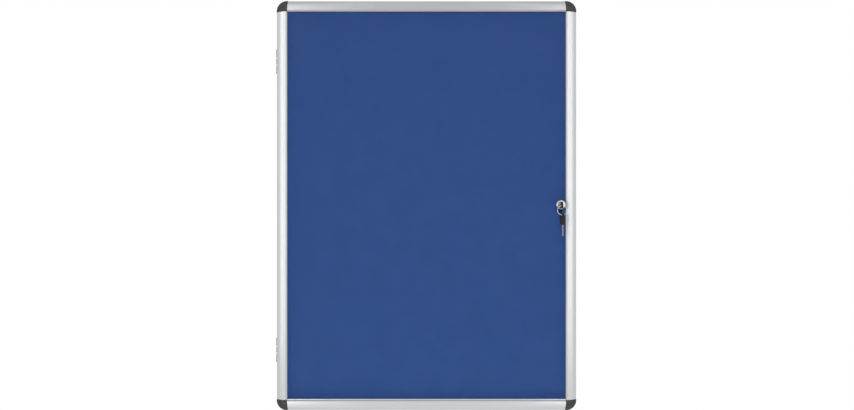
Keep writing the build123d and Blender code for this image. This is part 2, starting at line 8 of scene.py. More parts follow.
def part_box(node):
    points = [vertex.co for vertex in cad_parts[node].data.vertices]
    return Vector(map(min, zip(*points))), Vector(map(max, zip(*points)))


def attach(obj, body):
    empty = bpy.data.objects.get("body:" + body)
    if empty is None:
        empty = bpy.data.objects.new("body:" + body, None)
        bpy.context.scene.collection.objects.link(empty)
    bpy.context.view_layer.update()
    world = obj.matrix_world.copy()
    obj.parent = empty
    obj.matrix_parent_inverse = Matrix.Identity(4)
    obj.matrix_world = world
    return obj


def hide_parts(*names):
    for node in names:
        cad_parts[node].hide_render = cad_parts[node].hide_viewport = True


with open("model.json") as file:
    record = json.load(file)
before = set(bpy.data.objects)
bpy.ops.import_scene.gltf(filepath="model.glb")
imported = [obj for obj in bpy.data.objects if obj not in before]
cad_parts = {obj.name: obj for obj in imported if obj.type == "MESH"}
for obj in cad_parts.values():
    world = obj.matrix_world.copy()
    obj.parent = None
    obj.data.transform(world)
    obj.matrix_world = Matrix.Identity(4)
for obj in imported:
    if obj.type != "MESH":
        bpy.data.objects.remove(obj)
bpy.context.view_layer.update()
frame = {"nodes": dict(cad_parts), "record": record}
nodes = frame["nodes"]
slotOf = {part["node"]: part["material_slot"] for part in frame["record"]["subparts"]}
print("frame loaded,", len(nodes), "nodes")


# a socket that takes part in Python sums; colours go through mixes instead
class Number:
    def __init__(self, tree, socket):
        self.tree = tree
        self.socket = socket

    def sum(self, operation, first, second):
        node = self.tree.nodes.new("ShaderNodeMath")
        node.operation = operation
        for place, value in enumerate((first, second)):
            if isinstance(value, Number):
                self.tree.links.new(value.socket, node.inputs[place])
            else:
                node.inputs[place].default_value = value
        return Number(self.tree, node.outputs[0])

    def __add__(self, other):
        return self.sum("ADD", self, other)

    def __radd__(self, other):
        return self.sum("ADD", other, self)

    def __sub__(self, other):
        return self.sum("SUBTRACT", self, other)

    def __rsub__(self, other):
        return self.sum("SUBTRACT", other, self)

    def __mul__(self, other):
        return self.sum("MULTIPLY", self, other)

    def __rmul__(self, other):
        return self.sum("MULTIPLY", other, self)

    def __lt__(self, other):
        return self.sum("LESS_THAN", self, other)


# one material or world tree, filled node by node
class Finish:
    def __init__(self, name, owner=None):
        self.owner = owner or bpy.data.materials.new(name)
        self.owner.use_nodes = True
        self.tree = self.owner.node_tree
        self.tree.nodes.clear()

    # settings come first, then the sockets, by name or by number
    def add(self, kind, settings=None, sockets=None, out=0):
        node = self.tree.nodes.new("ShaderNode" + kind)
        for key, value in (settings or {}).items():
            if key == "stops":
                ramp = node.color_ramp.elements
                while len(ramp) < len(value):
                    ramp.new(1.0)
                for stop, (position, shade) in zip(ramp, value):
                    stop.position = position
                    stop.color = (shade, shade, shade, 1)
            else:
                setattr(node, key, value)
        for key, value in (sockets or {}).items():
            if isinstance(value, Number):
                self.tree.links.new(value.socket, node.inputs[key])
            else:
                node.inputs[key].default_value = value
        return Number(self.tree, node.outputs[out]) if len(node.outputs) else None

    def place(self, stretch=(1, 1, 1), shift=(0, 0, 0), turn=(0, 0, 0)):
        coords = self.add("TexCoord", out="Object")
        sockets = {"Vector": coords, "Location": shift, "Rotation": turn, "Scale": stretch}
        return self.add("Mapping", None, sockets)

    def noise(self, scale, detail, rough, **where):
        sockets = {"Vector": self.place(**where), "Scale": scale, "Detail": detail, "Roughness": rough}
        return self.add("TexNoise", None, sockets, "Fac")

    def cells(self, scale, feature="F1"):
        sockets = {"Vector": self.place(), "Scale": scale}
        return self.add("TexVoronoi", {"feature": feature}, sockets, "Distance")

    def ramp(self, value, *stops):
        return self.add("ValToRGB", {"stops": stops}, {"Fac": value}, "Color")

    # sockets 6 and 7 and output 2 are the colour ones of a Mix node
    def mix(self, share, first, second):
        return self.add("Mix", {"data_type": "RGBA"}, {0: share, 6: first, 7: second}, 2)

    # 0 below low, 1 above high, with a soft change between
    def fade(self, value, low, high):
        sockets = {"Value": value, "From Min": low, "From Max": high}
        return self.add("MapRange", {"interpolation_type": "SMOOTHSTEP"}, sockets)

    def bump(self, height, depth, strength=1.0):
        return self.add("Bump", None, {"Height": height, "Distance": depth, "Strength": strength})

    def close(self, shader):
        self.add("OutputMaterial", None, {"Surface": shader})
        return self.owner

    def skin(self, **sockets):
        named = {key.replace("_", " "): value for key, value in sockets.items()}
        return self.add("BsdfPrincipled", None, named)


def tone(red, green, blue):
    return (red, green, blue, 1)


# anodised extrusion: die lines along the rail, so light spreads across it, and faint handling marks
aluminium = {
    "pale": tone(0.562, 0.567, 0.577), "dull": tone(0.533, 0.539, 0.55), "metal": 0.75, "rough": 0.3,
    "spread": 0.84, "lineDepth": 0.000003, "streakPitch": 900, "streakStretch": 0.006, "markPitch": 14,
    # the last two levels are painted shade and light: they darken the top rail's tones and brighten the
    # bottom rail's
    "topPaintedShade": 0.85, "footPaintedLight": 1.06,
}


def aluminiumFinish(name, along, paintedLightLevel=1):
    look = aluminium
    # the level scales both tones: below 1 it is painted shade, above 1 painted light
    dull, pale = (tone(*(paintedLightLevel * part for part in look[key][:3])) for key in ("dull", "pale"))
    stretch = [look["streakStretch"] if axis == along else 1 for axis in "XYZ"]
    f = Finish(name)
    streaks = f.noise(look["streakPitch"], 3, 0.5, stretch=stretch)
    marks = f.ramp(f.noise(look["markPitch"], 5, 0.62), (0.42, 0), (0.72, 1))
    shade = 0.75 * streaks + 0.25 * marks
    return f.close(f.skin(
        Base_Color=f.mix(f.ramp(shade, (0.25, 0), (0.75, 1)), dull, pale),
        Metallic=look["metal"],
        Roughness=look["rough"] + 0.02 * streaks + 0.02 * marks,
        Anisotropic=look["spread"],
        Anisotropic_Rotation=0.25 if along == "X" else 0.0,
        Normal=f.bump(streaks, look["lineDepth"]),
    ))


# moulded corner plastic: eroded grain, paler where hands rub it
charcoal = {
    "deep": tone(0.01, 0.0097, 0.0115), "worn": tone(0.055, 0.0535, 0.058), "speck": 210, "grain": 900,
    "grainDepth": 0.00012, "rough": 0.5,
}


def charcoalFinish(name):
    look = charcoal
    f = Finish(name)
    grain = f.cells(look["grain"], "SMOOTH_F1")
    fine = f.noise(look["grain"] * 2.2, 2, 0.6)
    specks = f.noise(look["speck"], 3, 0.6)
    high = f.ramp(0.6 * specks + 0.4 * fine, (0.38, 0), (0.65, 1))
    return f.close(f.skin(
        Base_Color=f.mix(high, look["deep"], look["worn"]),
        Roughness=look["rough"] + 0.16 * fine,
        Normal=f.bump(grain + 0.4 * fine, look["grainDepth"], 0.7),
    ))


# needle felt: matted fibres in two directions, cloudy dye, a few old pin pricks
felt = {
    "dye": tone(0.0302, 0.0775, 0.243), "faded": tone(0.0392, 0.089, 0.267),
    "shadow": tone(0.0154, 0.0425, 0.148), "sheen": tone(0.35, 0.5, 0.9),
    "fibre": 900, "fibreStretch": 0.16, "fibreDepth": 0.0005, "thread": 150, "threadStretch": 0.35,
    "cloud": 22, "prickPitch": 26, "prickSize": 0.018, "rough": 0.9, "shine": 0.06, "sheenShare": 0.03,
    "sheenRough": 0.5,
}


def feltFinish(name):
    look = felt
    f = Finish(name)
    thin, drawn = look["fibreStretch"], look["threadStretch"]
    fibres = f.noise(look["fibre"], 4, 0.65, stretch=(thin, 1, 1), turn=(0, 0.5, 0))
    crossed = f.noise(look["fibre"], 4, 0.65, stretch=(1, 1, thin), turn=(0, -0.4, 0), shift=(3, 1, 2))
    acrossTufts = f.noise(look["thread"], 3, 0.6, stretch=(drawn, 1, 1))
    upTufts = f.noise(look["thread"], 3, 0.6, stretch=(1, 1, drawn))
    tufts = 0.5 * acrossTufts + 0.5 * upTufts
    clouds = f.noise(look["cloud"], 5, 0.6)
    mat = 0.28 * fibres + 0.28 * crossed + 0.44 * tufts
    pricks = f.cells(look["prickPitch"]) < look["prickSize"]
    faded = f.mix(f.ramp(0.35 * clouds + 0.65 * mat, (0.4, 0), (0.6, 1)), look["dye"], look["faded"])
    dark = f.ramp(mat, (0.3, 1), (0.47, 0))
    depth = f.add("Math", {"operation": "MAXIMUM"}, {0: 0.6 * dark, 1: pricks})
    return f.close(f.skin(
        Base_Color=f.mix(depth, faded, look["shadow"]),
        Roughness=look["rough"] + 0.1 * mat,
        Specular_IOR_Level=look["shine"],
        Sheen_Weight=look["sheenShare"],
        Sheen_Roughness=look["sheenRough"],
        Sheen_Tint=look["sheen"],
        Normal=f.bump(mat - 1.5 * pricks, look["fibreDepth"], 0.55),
    ))


# soft fibre board: pressed flakes and long fibres
fibreBoard = {
    "light": tone(0.5, 0.37, 0.22), "dark": tone(0.27, 0.18, 0.1), "flake": 240, "depth": 0.0003,
    "rough": 0.85,
}


def fibreBoardFinish(name):
    look = fibreBoard
    f = Finish(name)
    fibres = f.noise(look["flake"], 5, 0.7, stretch=(0.3, 1, 1), turn=(0, 0.7, 0))
    flakes = f.noise(look["flake"] * 0.4, 4, 0.6)
    pale = f.ramp(0.5 * fibres + 0.5 * flakes, (0.35, 0), (0.65, 1))
    return f.close(f.skin(
        Base_Color=f.mix(pale, look["dark"], look["light"]),
        Roughness=look["rough"] + 0.1 * flakes,
        Normal=f.bump(fibres, look["depth"], 0.6),
    ))


# galvanised back: zinc flowers of different greys
galvanised = {
    "light": tone(0.59, 0.61, 0.63), "dark": tone(0.45, 0.47, 0.49), "flower": 85, "frost": 900,
    "wobblePitch": 90, "wobble": 0.005, "grimePitch": 9, "depth": 0.00006, "metal": 0.85, "rough": 0.34,
}


def galvanisedFinish(name):
    look = galvanised
    f = Finish(name)
    sockets = {"Vector": f.place(), "Scale": look["wobblePitch"], "Detail": 3.0}
    drift = f.add("TexNoise", None, sockets, "Color")
    sockets = {0: drift, 1: [look["wobble"]] * 3, 2: f.place()}
    wobble = f.add("VectorMath", {"operation": "MULTIPLY_ADD"}, sockets)
    flower = f.add("TexVoronoi", {"feature": "F1"}, {"Vector": wobble, "Scale": look["flower"]}, "Color")
    grey = f.add("SeparateColor", None, {"Color": flower}, "Red")
    frost = f.noise(look["frost"], 3, 0.6, stretch=(1, 1, 0.2))
    grime = f.ramp(f.noise(look["grimePitch"], 6, 0.6), (0.5, 0), (0.78, 1))
    return f.close(f.skin(
        Base_Color=f.mix(0.75 * grey + 0.25 * frost, look["dark"], look["light"]),
        Metallic=look["metal"],
        Roughness=look["rough"] + 0.2 * grey + 0.14 * grime,
        Normal=f.bump(grey + 0.3 * frost, look["depth"], 0.5),
    ))


# clear door sheet: lets lamp light through, thin gloss on the surface, faint wiping marks
acrylic = {"tint": tone(0.985, 0.99, 0.995), "index": 1.08, "rough": 0.03, "wipePitch": 30}


def acrylicFinish(name):
    look = acrylic
    f = Finish(name)
    wipes = f.noise(look["wipePitch"], 4, 0.6, stretch=(1, 1, 0.15), turn=(0, 0.6, 0))
    gloss = f.add("BsdfGlossy", None, {"Color": tone(1, 1, 1), "Roughness": look["rough"] + 0.05 * wipes})
    clear = f.add("BsdfTransparent", None, {"Color": look["tint"]})
    edge = f.add("Fresnel", None, {"IOR": look["index"]})
    lamp = f.add("LightPath", None, None, "Is Shadow Ray")
    seen = f.add("MixShader", None, {0: edge, 1: clear, 2: gloss})
    return f.close(f.add("MixShader", None, {0: lamp, 1: seen, 2: clear}))


# extruded rubber with bloom: black seals, and the blue grey strip round the pane
rubber = {"dark": tone(0.016, 0.016, 0.017), "bloom": tone(0.04, 0.04, 0.041)}
glazingStrip = {"dark": tone(0.085, 0.105, 0.15), "bloom": tone(0.14, 0.165, 0.22)}
rubberGrain = {"pitch": 1400, "depth": 0.00005, "bloomPitch": 45, "rough": 0.62}


def rubberFinish(name, look):
    f = Finish(name)
    grain = f.noise(rubberGrain["pitch"], 3, 0.6)
    bloom = f.ramp(f.noise(rubberGrain["bloomPitch"], 5, 0.65), (0.45, 0), (0.75, 1))
    return f.close(f.skin(
        Base_Color=f.mix(0.6 * bloom + 0.2 * grain, look["dark"], look["bloom"]),
        Roughness=rubberGrain["rough"] + 0.2 * bloom,
        Normal=f.bump(grain, rubberGrain["depth"], 0.6),
    ))


# zinc plate: pale blue and straw tints, fine scratches
zinc = {
    "blue": tone(0.6, 0.63, 0.67), "straw": tone(0.64, 0.61, 0.52), "tintPitch": 140, "scratch": 1800,
    "depth": 0.00002, "metal": 0.95, "rough": 0.26,
}


def zincFinish(name):
    look = zinc
    f = Finish(name)
    tint = f.noise(look["tintPitch"], 4, 0.6)
    scratch = f.noise(look["scratch"], 2, 0.5, stretch=(0.05, 1, 1), turn=(0.3, 0.9, 0.2))
    return f.close(f.skin(
        Base_Color=f.mix(f.ramp(tint, (0.4, 0), (0.66, 1)), look["blue"], look["straw"]),
        Metallic=look["metal"],
        Roughness=look["rough"] + 0.14 * tint + 0.1 * scratch,
        Normal=f.bump(scratch, look["depth"], 0.5),
    ))


# coated hinge metal: dark satin, rubbed bright on a few high spots
hinge = {
    "coat": tone(0.018, 0.018, 0.02), "rubbedAndPaintedShade": tone(0.22, 0.22, 0.23), "wornPitch": 180, "peel": 700,
    "depth": 0.00003, "rough": 0.62, "shine": 0.03,
}


def hingeFinish(name):
    look = hinge
    f = Finish(name)
    peel = f.noise(look["peel"], 3, 0.5)
    worn = f.ramp(f.noise(look["wornPitch"], 6, 0.7), (0.62, 0), (0.74, 1))
    return f.close(f.skin(
        Base_Color=f.mix(worn, look["coat"], look["rubbedAndPaintedShade"]),
        Metallic=0.8 * worn,
        Roughness=look["rough"] - 0.16 * worn + 0.1 * peel,
        Specular_IOR_Level=look["shine"],
        Normal=f.bump(peel, look["depth"], 0.5),
    ))


# nylon washers: milky, slightly yellowed
nylon = {
    "milk": tone(0.76, 0.76, 0.74), "aged": tone(0.66, 0.63, 0.55), "agedPitch": 220, "grain": 800,
    "depth": 0.00002, "rough": 0.42,
}


def nylonFinish(name):
    look = nylon
    f = Finish(name)
    aged = f.noise(look["agedPitch"], 4, 0.6)
    grain = f.noise(look["grain"], 2, 0.5)
    return f.close(f.skin(
        Base_Color=f.mix(f.ramp(aged, (0.45, 0), (0.75, 1)), look["milk"], look["aged"]),
        Roughness=look["rough"] + 0.14 * grain,
        Normal=f.bump(grain, look["depth"], 0.4),
    ))


# chrome and brass of the lock: turned rings round the lock's axis, key scuffs, and painted shade below the
# axis, a dark reflection painted into the colour
chrome = {
    "plate": tone(0.5, 0.5, 0.53), "cloud": tone(0.36, 0.36, 0.4), "rubbedAndPaintedShade": tone(0.1, 0.11, 0.14),
    "ringPitch": 5200, "rough": 0.14, "paintedShadeFrom": 0.002, "paintedShadeTo": 0.009,
}
brass = {
    "plate": tone(0.62, 0.5, 0.36), "cloud": tone(0.5, 0.39, 0.27), "rubbedAndPaintedShade": tone(0.16, 0.13, 0.1),
    "ringPitch": 4200, "rough": 0.2, "paintedShadeFrom": 0.0, "paintedShadeTo": 0.006,
}
turned = {"cloudPitch": 260, "scuffPitch": 2100, "depth": 0.00001, "ragged": 0.004, "paintedShadeShare": 0.85}
lockLow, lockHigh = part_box("lock_housing")
lockAxis = (lockLow + lockHigh) / 2


def turnedFinish(name, look):
    f = Finish(name)
    centred = f.place(stretch=(1, 0, 1), shift=(-lockAxis.x, 0, -lockAxis.z))
    reach = f.add("VectorMath", {"operation": "LENGTH"}, {0: centred}, "Value")
    rings = f.add("Math", {"operation": "SINE"}, {0: reach * look["ringPitch"]})
    cloud = f.noise(turned["cloudPitch"], 5, 0.65)
    scratches = f.noise(turned["scuffPitch"], 3, 0.6, stretch=(0.08, 1, 1), turn=(0, 0.8, 0.3))
    scuffs = f.ramp(scratches, (0.56, 0), (0.7, 1))
    plate = f.mix(f.ramp(cloud, (0.42, 0), (0.72, 1)), look["plate"], look["cloud"])
    # painted shade: below the axis the colour turns to the dark third tone, a painted dark reflection
    below = -1 * f.add("SeparateXYZ", None, {"Vector": centred}, "Z") + turned["ragged"] * cloud
    rubbedAndPaintedShade = f.fade(below, look["paintedShadeFrom"], look["paintedShadeTo"])
    return f.close(f.skin(
        Base_Color=f.mix(turned["paintedShadeShare"] * rubbedAndPaintedShade, plate, look["rubbedAndPaintedShade"]),
        Metallic=1.0,
        Roughness=look["rough"] + 0.1 * cloud + 0.14 * scuffs,
        Normal=f.bump(0.5 * rings + scuffs, turned["depth"], 0.4),
    ))


# nickel silver of the keys and spring steel of the ring: drawn grain and small nicks
keyMetal = {"bright": tone(0.34, 0.42, 0.54), "dull": tone(0.23, 0.29, 0.39), "grain": 2400, "rough": 0.26}
ringSteel = {"bright": tone(0.46, 0.5, 0.56), "dull": tone(0.3, 0.33, 0.38), "grain": 2800, "rough": 0.18}
nicked = {"pitch": 520, "depth": 0.00003}


def drawnFinish(name, look):
    f = Finish(name)
    grain = f.noise(look["grain"], 2, 0.55, stretch=(1, 1, 0.06))
    nicks = f.ramp(f.noise(nicked["pitch"], 6, 0.7), (0.58, 0), (0.68, 1))
    return f.close(f.skin(
        Base_Color=f.mix(0.5 * grain + 0.5 * nicks, look["bright"], look["dull"]),
        Metallic=1.0,
        Roughness=look["rough"] + 0.12 * grain + 0.15 * nicks,
        Normal=f.bump(grain - nicks, nicked["depth"], 0.4),
    ))


# moulded key heads: black, fine grain, shiny where thumbs rub
keyPlastic = {
    "black": tone(0.016, 0.016, 0.018), "rubbedAndPaintedShade": tone(0.035, 0.035, 0.038), "thumbPitch": 120, "grain": 1500,
    "depth": 0.00006, "rough": 0.6, "shine": 0.18,
}


def keyPlasticFinish(name):
    look = keyPlastic
    f = Finish(name)
    grain = f.cells(look["grain"], "SMOOTH_F1")
    thumb = f.ramp(f.noise(look["thumbPitch"], 4, 0.6), (0.4, 0), (0.7, 1))
    return f.close(f.skin(
        Base_Color=f.mix(thumb, look["black"], look["rubbedAndPaintedShade"]),
        Roughness=look["rough"] - 0.16 * thumb,
        Specular_IOR_Level=look["shine"],
        Normal=f.bump(grain, look["depth"], 0.6),
    ))


finishes = {
    "anodised_aluminium": aluminiumFinish("anodisedUpright", "Z"),
    "charcoal_plastic": charcoalFinish("charcoalMoulding"),
    "blue_felt": feltFinish("blueFelt"),
    "fibre_board": fibreBoardFinish("fibreBoard"),
    "galvanised_sheet": galvanisedFinish("galvanisedSheet"),
    "clear_acrylic": acrylicFinish("clearAcrylic"),
    "black_rubber": rubberFinish("blackRubber", rubber),
    "zinc_steel": zincFinish("zincSteel"),
    "dark_hinge_metal": hingeFinish("darkHingeMetal"),
    "pale_nylon": nylonFinish("paleNylon"),
    "lock_chrome": turnedFinish("lockChrome", chrome),
    "key_metal": drawnFinish("keyMetal", keyMetal),
    "key_plastic": keyPlasticFinish("keyPlastic"),
    "ring_steel": drawnFinish("ringSteel", ringSteel),
}
# rails that run across, by the ends of their names, with painted shade on the top rail and painted light on
# the bottom one, then nodes with a finish apart from their slot's
crossRails = {
    "rail_top": aluminiumFinish("anodisedTopPaintedShade", "X", aluminium["topPaintedShade"]),
    "rail_bottom": aluminiumFinish("anodisedBottomPaintedLight", "X", aluminium["footPaintedLight"]),
}
ownFinishes = {
    "lock_plug": turnedFinish("lockBrass", brass),
    "glazing_gasket": rubberFinish("glazingStrip", glazingStrip),
}

for name, part in nodes.items():
    material = finishes[slotOf[name]]
    for ending, crossFinish in crossRails.items():
        if name.endswith(ending):
            material = crossFinish
    material = ownFinishes.get(name, material)
    part.data.materials.clear()
    part.data.materials.append(material)
print("finishes on", len(nodes), "nodes")


def clearSelection():
    if bpy.context.object and bpy.context.object.mode != "OBJECT":
        bpy.ops.object.mode_set(mode="OBJECT")
    bpy.ops.object.select_all(action="DESELECT")


def newest(name):
    piece = bpy.context.object
    piece.name = name
    piece.data.name = name
    return piece


def settle(piece):
    clearSelection()
    bpy.context.view_layer.objects.active = piece
    piece.select_set(True)
    bpy.ops.object.transform_apply(location=True, rotation=True, scale=True)


nearlyOne = 0.9  # how straight an edge or a normal lies along its axis
weldGap = 0.000005


# edit mode with only the faces or edges that the test picks
def pick(piece, kind, test):
    clearSelection()
    bpy.context.view_layer.objects.active = piece
    piece.select_set(True)
    bpy.ops.object.mode_set(mode="EDIT")
    bpy.ops.mesh.select_mode(type=kind)
    bpy.ops.mesh.select_all(action="DESELECT")
    bpy.ops.object.mode_set(mode="OBJECT")
    mesh = piece.data
    for item in mesh.polygons if kind == "FACE" else mesh.edges:
        item.select = test(mesh, item)
    bpy.ops.object.mode_set(mode="EDIT")


def edgeLine(mesh, edge):
    first, last = (mesh.vertices[number].co for number in edge.vertices)
    return (last - first).normalized()


def runsAlong(axis):
    return lambda mesh, edge: abs(edgeLine(mesh, edge)["XYZ".index(axis)]) > nearlyOne


def addModifier(piece, kind, **settings):
    clearSelection()
    bpy.context.view_layer.objects.active = piece
    piece.select_set(True)
    modifier = piece.modifiers.new(kind.lower(), kind)
    for key, value in settings.items():
        setattr(modifier, key, value)
    bpy.ops.object.modifier_apply(modifier=modifier.name)


def tidy(piece, angle):
    pick(piece, "FACE", lambda mesh, face: True)
    bpy.ops.mesh.remove_doubles(threshold=weldGap)
    bpy.ops.mesh.normals_make_consistent(inside=False)
    bpy.ops.object.mode_set(mode="OBJECT")
    bpy.ops.object.shade_smooth_by_angle(angle=math.radians(angle))


def carve(piece, tool, operation):
    addModifier(piece, "BOOLEAN", operation=operation, solver="EXACT", object=tool)
    bpy.data.objects.remove(tool)


def soften(piece, width, steps, angle):
    addModifier(
        piece, "BEVEL", width=width, segments=steps, limit_method="ANGLE", angle_limit=math.radians(angle))


def dress(piece, body, slot, *stoodFor, finish=None):
    piece.data.materials.clear()
    piece.data.materials.append(finish or finishes[slot])
    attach(piece, body)
    if stoodFor:
        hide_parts(*stoodFor)


def middle(node):
    low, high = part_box(node)
    return (low + high) / 2


# felt: stretched over the pin board, edges in the rails' groove
feltSheet = {"across": 150, "up": 207, "unevenness": 0.0003, "patch": 0.06, "smooth": 40}


def makeFelt():
    size = feltSheet
    low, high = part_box("felt_facing")
    wide, thick, tall = high - low
    clearSelection()
    bpy.ops.mesh.primitive_grid_add(
        x_subdivisions=size["across"], y_subdivisions=size["up"], size=1,
        location=(0, low.y, 0), rotation=(math.pi / 2, 0, 0),
    )
    sheet = newest("felt_sheet")
    sheet.scale = (wide, tall, 1)
    settle(sheet)
    clouds = bpy.data.textures.new("feltPatches", "CLOUDS")
    clouds.noise_scale = size["patch"]
    addModifier(sheet, "DISPLACE", texture=clouds, strength=size["unevenness"], texture_coords="LOCAL")
    addModifier(sheet, "SOLIDIFY", thickness=thick, offset=-1)
    tidy(sheet, size["smooth"])
    dress(sheet, "case", "blue_felt", "felt_facing")


makeFelt()
print("felt stretched")


# glazing bead along the foot of the pane, made paler as painted light for a thin bright line, and a dark
# rubber strip between bead and rail as painted shadow
glazingBead = {
    "high": 0.0019, "deep": 0.0012, "lift": 0.0001, "gap": 0.00005, "short": 0.0012, "round": 0.0009,
    "paintedLightLevel": 1.42, "shadowStripLong": 0.0013, "shadowStripThick": 0.0005, "shadowStripAhead": 0.0025, "shadowStripBelow": 0.0006,
    "shadowStripSlope": 42, "shadowStripRound": 0.0002, "roundSteps": 8, "shadowStripSteps": 3, "smooth": 35,
}


def makeBead():
    size = glazingBead
    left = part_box("door_rail_left")[1].x + size["short"]
    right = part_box("door_rail_right")[0].x - size["short"]
    front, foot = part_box("pane")[0].y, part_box("door_rail_bottom")[1].z
    ahead, up = size["gap"] + size["deep"] / 2, size["lift"] + size["high"] / 2
    centre = Vector(((left + right) / 2, front - ahead, foot + up))
    clearSelection()
    bpy.ops.mesh.primitive_cube_add(size=1, location=centre)
    bead = newest("glazing_bead")
    bead.scale = (right - left, size["deep"], size["high"])
    settle(bead)

    def atNose(mesh, edge):
        ends = [mesh.vertices[number].co - centre for number in edge.vertices]
        return all(end.y < 0 < end.z for end in ends)

    pick(bead, "EDGE", atNose)
    bpy.ops.mesh.bevel(offset=size["round"], segments=size["roundSteps"], affect="EDGES")
    bpy.ops.object.mode_set(mode="OBJECT")
    tidy(bead, size["smooth"])
    # the bead is made paler than the rails: painted light, standing for light from above on the ledge
    dress(bead, "door", "anodised_aluminium", finish=aluminiumFinish("beadPaintedLight", "X", size["paintedLightLevel"]))

    # the dark strip is painted shadow: it stands for the shadow line between bead and rail
    clearSelection()
    bpy.ops.mesh.primitive_cube_add(
        size=1, location=(centre.x, front - size["shadowStripAhead"], foot - size["shadowStripBelow"]),
        rotation=(math.radians(-size["shadowStripSlope"]), 0, 0),
    )
    shadowStrip = newest("bead_painted_shadow")
    shadowStrip.scale = (right - left, size["shadowStripThick"], size["shadowStripLong"])
    settle(shadowStrip)
    pick(shadowStrip, "EDGE", runsAlong("X"))
    bpy.ops.mesh.bevel(offset=size["shadowStripRound"], segments=size["shadowStripSteps"], affect="EDGES")
    bpy.ops.object.mode_set(mode="OBJECT")
    tidy(shadowStrip, size["smooth"])
    dress(shadowStrip, "door", "black_rubber", finish=ownFinishes["glazing_gasket"])


makeBead()
print("glazing bead and its seal in")


# key ring: flat spring wire wound twice
splitRing = {
    "radius": 0.0111, "wide": 0.0012, "thick": 0.00058, "pitch": 0.00062, "corner": 0.0002, "turns": 2,
    "steps": 80, "endAngle": 200, "cornerSteps": 3, "smooth": 35,
}


def makeRing():
    size = splitRing
    clearSelection()
    bpy.ops.mesh.primitive_plane_add(size=1, location=(size["radius"], 0, 0), rotation=(math.pi / 2, 0, 0))
    ring = newest("split_ring")
    ring.scale = (size["wide"], size["thick"], 1)
    settle(ring)
    pick(ring, "FACE", lambda mesh, face: True)
    bpy.ops.mesh.bevel(offset=size["corner"], segments=size["cornerSteps"], affect="VERTICES")
    bpy.ops.mesh.delete(type="ONLY_FACE")
    bpy.ops.object.mode_set(mode="OBJECT")
    addModifier(
        ring, "SCREW", axis="Z", screw_offset=size["pitch"], iterations=size["turns"],
        steps=size["steps"], render_steps=size["steps"],
    )
    pick(ring, "EDGE", lambda mesh, edge: True)
    bpy.ops.mesh.fill_holes(sides=0)
    bpy.ops.object.mode_set(mode="OBJECT")
    ring.rotation_euler = (math.pi / 2, math.radians(size["endAngle"]), 0)
    drop = size["turns"] * size["pitch"] / 2
    ring.location = middle("key_ring") + Vector((0, drop, 0))
    settle(ring)
    tidy(ring, size["smooth"])
    dress(ring, "key_ring", "ring_steel", "key_ring")


makeRing()
print("key ring wound")


# key heads: rim, sunk thumb panel with ribs, boss round the ring hole
keyBow = {
    "length": 0.028, "width": 0.016, "thick": 0.0036, "corner": 0.007, "rim": 0.0016, "sunk": 0.0005,
    "holeAlong": 0.0218, "holeRadius": 0.0034, "bossRadius": 0.0047, "ribs": (0.0045, 0.0075, 0.0105, 0.0135),
    "ribLong": 0.0085, "ribWide": 0.001, "ribHigh": 0.0034, "holeCut": 0.01, "roundSteps": 56,
    "cornerSteps": 12, "soft": 0.00022, "softSteps": 3, "softAngle": 40, "smooth": 35,
}


def makeBow():
    size = keyBow
    clearSelection()
    bpy.ops.mesh.primitive_cube_add(size=1, location=(size["length"] / 2, 0, 0))
    bow = newest("bowMaster")
    bow.scale = (size["length"], size["width"], size["thick"])
    settle(bow)
    pick(bow, "EDGE", runsAlong("Z"))
    bpy.ops.mesh.bevel(offset=size["corner"], segments=size["cornerSteps"], affect="EDGES")
    pick(bow, "FACE", lambda mesh, face: abs(face.normal.z) > nearlyOne)
    bpy.ops.mesh.inset(thickness=size["rim"], depth=-size["sunk"])
    bpy.ops.object.mode_set(mode="OBJECT")
    for along in size["ribs"]:
        clearSelection()
        bpy.ops.mesh.primitive_cube_add(size=1, location=(along, 0, 0))
        rib = newest("rib")
        rib.scale = (size["ribWide"], size["ribLong"], size["ribHigh"])
        settle(rib)
        carve(bow, rib, "UNION")
    rounds = {
        "boss": (size["bossRadius"], size["ribHigh"], "UNION"),
        "hole": (size["holeRadius"], size["holeCut"], "DIFFERENCE"),
    }
    for name, (radius, deep, operation) in rounds.items():
        clearSelection()
        bpy.ops.mesh.primitive_cylinder_add(
            vertices=size["roundSteps"], radius=radius, depth=deep, location=(size["holeAlong"], 0, 0))
        carve(bow, newest(name), operation)
    soften(bow, size["soft"], size["softSteps"], size["softAngle"])
    tidy(bow, size["smooth"])
    return bow


# key blades: pointed tip, cuts of different depths, a milled groove on each side
keyShank = {
    "tip": -0.0265, "end": 0.01, "width": 0.0065, "thick": 0.002, "point": 0.002, "firstCut": -0.0229,
    "cutPitch": 0.0036, "cuts": (0.0009, 0.0013, 0.0007, 0.0012, 0.001), "grooveWide": 0.0013,
    "grooveDeep": 0.0004, "grooveUp": 0.0009, "grooveEnd": -0.001, "pointSteps": 5, "cutSides": 4,
    "soft": 0.00012, "softSteps": 2, "softAngle": 30, "smooth": 30,
}


